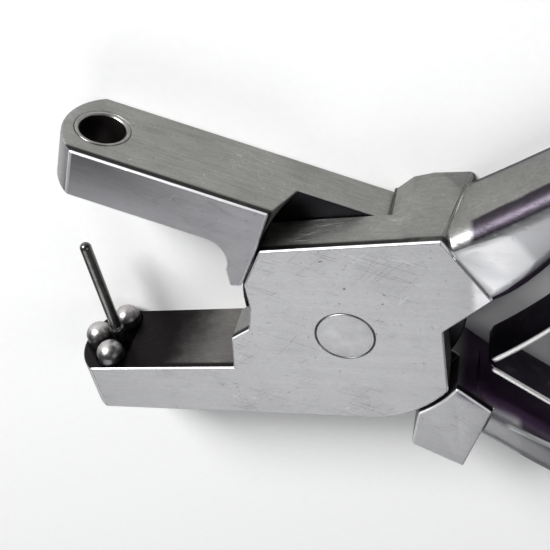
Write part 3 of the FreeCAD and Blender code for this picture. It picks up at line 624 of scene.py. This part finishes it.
def leaf_mesh(name, side):
    """A strip with eased edges along the path. Its section is a rounded rectangle, the superellipse
    |a|^8 + |b|^8 = 1 scaled to half the width and half the thickness; the last millimetres thin towards a
    rounded end and the strip closes at both ends."""
    spots, ways = leaf_path(side)
    lengths = np.concatenate([[0], np.cumsum(np.linalg.norm(np.diff(spots, axis=0), axis=1))])
    total = lengths[-1]
    angles = np.linspace(0, 2 * math.pi, 48, endpoint=False)
    power = 2 / 8
    across = np.sign(np.cos(angles)) * np.abs(np.cos(angles)) ** power
    through = np.sign(np.sin(angles)) * np.abs(np.sin(angles)) ** power
    rings = []
    for (x, y), way, s in zip(spots, ways, lengths):
        ease = min(1.0, math.sqrt(max(0.0, 1 - max(0.0, 1 - (s + 0.02 * MM) / (0.8 * MM)) ** 2)))
        ease = min(ease, math.sqrt(max(0.0, 1 - max(0.0, 1 - (total - s + 0.02 * MM) / (0.8 * MM)) ** 2)))
        half_width = STRIP_WIDTH / 2 * (0.75 + 0.25 * ease)
        half_thick = STRIP / 2 * (0.35 + 0.65 * ease)
        side_way = np.array([-math.sin(way), math.cos(way), 0.0])
        base = np.array([x, y, MIDDLE])
        rings.append(base + np.outer(through * half_thick, side_way)
                     + np.outer(across * half_width, (0, 0, 1)))
    rings.insert(0, np.repeat([rings[0].mean(0)], len(angles), 0))
    rings.append(np.repeat([rings[-1].mean(0)], len(angles), 0))
    return surface(name, np.array(rings)), spots


def spring_steel():
    """Blued strip: long soft rolling lines, blue-black temper colour in clouds, spots where it is rubbed,
    and bare bright steel along the two sheared edges."""
    material, shader, place = new_material("spring_strip_steel")
    lines = place.turned(-0.2).noise((60, 60, 3600), detail=3.0)
    cloud = place.noise((210, 210, 210), detail=4.0, roughness=0.6)
    wear_and_highlight = place.noise((620, 620, 620), detail=3.0).step(0.55, 0.7)
    x, y, z = place.parts()
    bare = abs(z - MIDDLE).step(STRIP_WIDTH / 2 - 0.25 * MM, STRIP_WIDTH / 2 - 0.1 * MM)
    colour = cloud.step(0.3, 0.7).mix((0.016, 0.011, 0.022, 1), (0.038, 0.028, 0.046, 1))
    colour = (wear_and_highlight * 0.12).mix(colour, (0.22, 0.215, 0.22, 1))
    colour = (bare * 0.9).mix(colour, (0.72, 0.715, 0.71, 1))
    set_shader(shader, colour, 0.2 + lines * 0.16 + cloud * 0.12, lines * 0.7 + cloud * 0.3, 0.00001,
               Metallic=1.0, IOR=2.6)
    return material


strip_steel = spring_steel()
for side, own, other in (("upper", "lower_jaw_side", "upper_jaw_side"),
                         ("lower", "upper_jaw_side", "lower_jaw_side")):
    mesh, spots = leaf_mesh(f"leaf_spring_{side}_rolled", side)
    mesh.materials.append(strip_steel)
    leaf = bpy.data.objects.new(f"leaf_spring_{side}_finished", mesh)
    bpy.context.scene.collection.objects.link(leaf)
    held, tip = spots[13], spots[-1]
    far = 2 * tip - held
    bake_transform(leaf)
    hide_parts(f"leaf_spring_{side}")

# ---------------------------------------------------------------- spring screws
# Slotted cheese-head screws, zinc plated, turned through the leaf's foot into the handle. The plating
# is dull in clouds.
SCREW_EDGE = 0.18 * MM


def zinc_plate():
    """Zinc plating: dull clouds on a pale bluish grey, with fine grain."""
    material, shader, place = new_material("zinc_plated_screw")
    cloud = place.noise((900, 900, 900), detail=4.0, roughness=0.6)
    fine = place.noise((4200, 4200, 4200), detail=2.0)
    set_shader(shader, cloud.step(0.3, 0.75).mix((0.44, 0.44, 0.46, 1), (0.68, 0.68, 0.69, 1)),
               0.24 + cloud * 0.18 + fine * 0.08, cloud * 0.5 + fine * 0.5, 0.00001, Metallic=1.0, IOR=2.4)
    return material


plated = zinc_plate()
forging("spring_screw_upper", "lower_jaw_side", plated, SCREW_EDGE)
forging("spring_screw_lower", "upper_jaw_side", plated, SCREW_EDGE)

# ---------------------------------------------------------------- dipped grips
# Soft vinyl, hot-dipped over the handles in one coat: thicker at the closed end where it drained,
# with a rolled lip where the dip line ended and a faint orange-peel surface.
GRIP_WALL = 1.5 * MM
GRIP_CAP = 2.6 * MM
GRIP_STATIONS = {
    "upper": np.array([(61.5, 30.8, 13.0, 6.7), (78.0, 34.0, 9.0, 6.6), (106.0, 37.0, 4.0, 6.4)]),
    "lower": np.array([(61.5, -38.7, -14.0, 6.7), (78.0, -42.1, -10.0, 6.6), (106.0, -46.0, -5.5, 6.4)]),
}


def grip_mesh(name, side):
    """A closed tube along the handle. The centre line is a cubic through the stations with their headings,
    p(t) = h00 p0 + h10 m0 + h01 p1 + h11 m1; the section is the superellipse |a|^3 + |b|^3 = 1; the wall
    swells by a quarter circle at the lip and closes by a half ellipse at the end."""
    stations = GRIP_STATIONS[side]
    spots, ways, widths = [], [], []
    for (x0, y0, a0, w0), (x1, y1, a1, w1) in zip(stations[:-1], stations[1:]):
        p0, p1 = np.array([x0, y0]), np.array([x1, y1])
        reach = np.linalg.norm(p1 - p0)
        m0 = reach * np.array([math.cos(math.radians(a0)), math.sin(math.radians(a0))])
        m1 = reach * np.array([math.cos(math.radians(a1)), math.sin(math.radians(a1))])
        for t in np.linspace(0, 1, 90, endpoint=False):
            h00, h10 = 2 * t ** 3 - 3 * t ** 2 + 1, t ** 3 - 2 * t ** 2 + t
            h01, h11 = -2 * t ** 3 + 3 * t ** 2, t ** 3 - t ** 2
            spots.append(h00 * p0 + h10 * m0 + h01 * p1 + h11 * m1)
            ways.append(math.radians(a0 + (a1 - a0) * t))
            widths.append(w0 + (w1 - w0) * t)
    end_way = math.radians(stations[-1][2])
    lead = np.array([math.cos(end_way), math.sin(end_way)])
    for s in np.linspace(0, GRIP_CAP / MM, 30):
        spots.append(stations[-1][:2] + s * lead)
        ways.append(end_way)
        widths.append(stations[-1][3])
    spots = np.array(spots) * MM
    lengths = np.concatenate([[0], np.cumsum(np.linalg.norm(np.diff(spots, axis=0), axis=1))])
    total = lengths[-1]
    angles = np.linspace(0, 2 * math.pi, 96, endpoint=False)
    power = 2 / 3
    across = np.sign(np.cos(angles)) * np.abs(np.cos(angles)) ** power
    up = np.sign(np.sin(angles)) * np.abs(np.sin(angles)) ** power
    rings = []
    for (x, y), way, width, s in zip(spots, ways, widths, lengths):
        lip = min(1.0, s / (1.2 * MM))
        thin = 1 - 0.72 * (1 - math.sqrt(max(0.0, 1 - (1 - lip) ** 2)))
        bead = 0.16 * MM * math.exp(-((s - 1.3 * MM) / (0.7 * MM)) ** 2)
        left = max(0.0, total - s) / (3.2 * MM)
        closing = math.sqrt(max(0.0, 1 - max(0.0, 1 - left) ** 2.4))
        sag = 0.07 * MM * math.sin(s / (5.5 * MM)) * min(1.0, s / (8 * MM))
        half_width = (width * MM / 2 + GRIP_WALL * thin + bead + sag) * closing
        half_depth = (MIDDLE - GRIP_WALL * (1 - thin)) * closing
        normal = np.array([-math.sin(way), math.cos(way), 0.0])
        base = np.array([x, y, MIDDLE])
        rings.append(base + np.outer(across * half_width, normal) + np.outer(up * half_depth, (0, 0, 1)))
    inner = rings[0].mean(0) + (rings[0] - rings[0].mean(0)) * 0.8
    rings.insert(0, inner)
    rings.insert(0, np.repeat([inner.mean(0)], len(angles), 0))
    rings[-1] = np.repeat([rings[-1].mean(0)], len(angles), 0)
    return surface(name, np.array(rings))


def vinyl():
    """Dipped vinyl: deep red with slow clouds, orange-peel relief, rubbed paler patches and fine grime."""
    material, shader, place = new_material("dipped_vinyl")
    slow = place.noise((60, 60, 60), detail=4.0)
    peel = place.noise((1500, 1500, 1500), detail=2.0)
    fine = place.noise((6500, 6500, 6500), detail=2.0)
    wear_and_highlight = place.noise((230, 230, 230), detail=4.0, roughness=0.62).step(0.52, 0.72)
    colour = slow.step(0.3, 0.7).mix((0.30, 0.022, 0.022, 1), (0.38, 0.034, 0.030, 1))
    colour = (wear_and_highlight * 0.28).mix(colour, (0.46, 0.085, 0.075, 1))
    colour = (fine.step(0.6, 0.75) * 0.25).mix(colour, (0.12, 0.02, 0.02, 1))
    roughness = 0.36 + peel * 0.12 + wear_and_highlight * 0.16 + fine * 0.06
    set_shader(shader, colour, roughness, peel * 0.7 + fine * 0.3, 0.00006, Metallic=0.0, IOR=1.52)
    return material


grip_vinyl = vinyl()
for side, own in (("upper", "lower_jaw_side"), ("lower", "upper_jaw_side")):
    place_piece(f"grip_{side}_finished", grip_mesh(f"grip_{side}_dipped", side), grip_vinyl, own,
                "grip_vinyl", f"grip_{side}")

# ---------------------------------------------------------------- floor, light and camera
# A sheet of matt white paper, a bright key light beyond the tool on the left, a broad weak glow from
# the near side that the front plate reflects, and a weak fill on the right.
floor_mesh = bpy.data.meshes.new("paper")
reach = 3.0
floor_mesh.from_pydata([(-reach, -reach, -0.05 * MM), (reach, -reach, -0.05 * MM), (reach, reach, -0.05 * MM),
                        (-reach, reach, -0.05 * MM)], [], [(0, 1, 2, 3)])
paper, paper_shader, paper_place = new_material("white_paper")
fibre = paper_place.noise((900, 900, 900), detail=4.0)
set_shader(paper_shader, fibre.mix((0.86, 0.86, 0.86, 1), (0.9, 0.9, 0.9, 1)), 0.9, fibre, 0.00002,
           Metallic=0.0)
floor_mesh.materials.append(paper)
floor = bpy.data.objects.new("paper_sheet", floor_mesh)
bpy.context.scene.collection.objects.link(floor)

world = bpy.data.worlds.new("studio")
bpy.context.scene.world = world
world.use_nodes = True
world.node_tree.nodes["Background"].inputs["Color"].default_value = (0.95, 0.97, 1.0, 1)
world.node_tree.nodes["Background"].inputs["Strength"].default_value = 0.16
bpy.context.scene.view_settings.view_transform = "Standard"


def soft_light(name, place, aim, width, height, radiance):
    """A rectangular light at place that faces aim. Its power is pi times radiance times area."""
    light = bpy.data.lights.new(name, "AREA")
    light.shape = "RECTANGLE"
    light.size = width
    light.size_y = height
    light.energy = math.pi * radiance * width * height
    lamp = bpy.data.objects.new(name, light)
    bpy.context.scene.collection.objects.link(lamp)
    lamp.location = place
    lamp.rotation_euler = (Vector(aim) - Vector(place)).to_track_quat("-Z", "Y").to_euler()
    return lamp


soft_light("key", (-0.28, 0.46, 0.29), (0, 0, 0), 0.24, 0.20, 37.0)
soft_light("plate_glow", (-0.20, -0.46, 0.56), (0, 0, 0), 0.55, 0.42, 1.85)
soft_light("fill", (0.55, 0.05, 0.45), (0, 0, 0), 0.30, 0.40, 1.7)

LENS = 60
TILT = math.radians(40)
PAN = math.radians(15.9)
AIM = Vector((-8.44, 7.40, 9.05)) * MM
DISTANCE = 114.6 * MM
away = Vector((math.sin(PAN), math.cos(PAN) * math.sin(TILT), math.cos(PAN) * math.cos(TILT)))
up = Vector((0, math.cos(TILT), -math.sin(TILT)))
right = up.cross(away)
camera_data = bpy.data.cameras.new("camera")
camera_data.lens = LENS
camera_data.sensor_width = 36
camera_data.clip_start = 0.005
camera = bpy.data.objects.new("camera", camera_data)
bpy.context.scene.collection.objects.link(camera)
turn = Matrix((right, up, away)).transposed().to_4x4()
camera.matrix_world = Matrix.Translation(AIM + away * DISTANCE) @ turn
bpy.context.scene.camera = camera
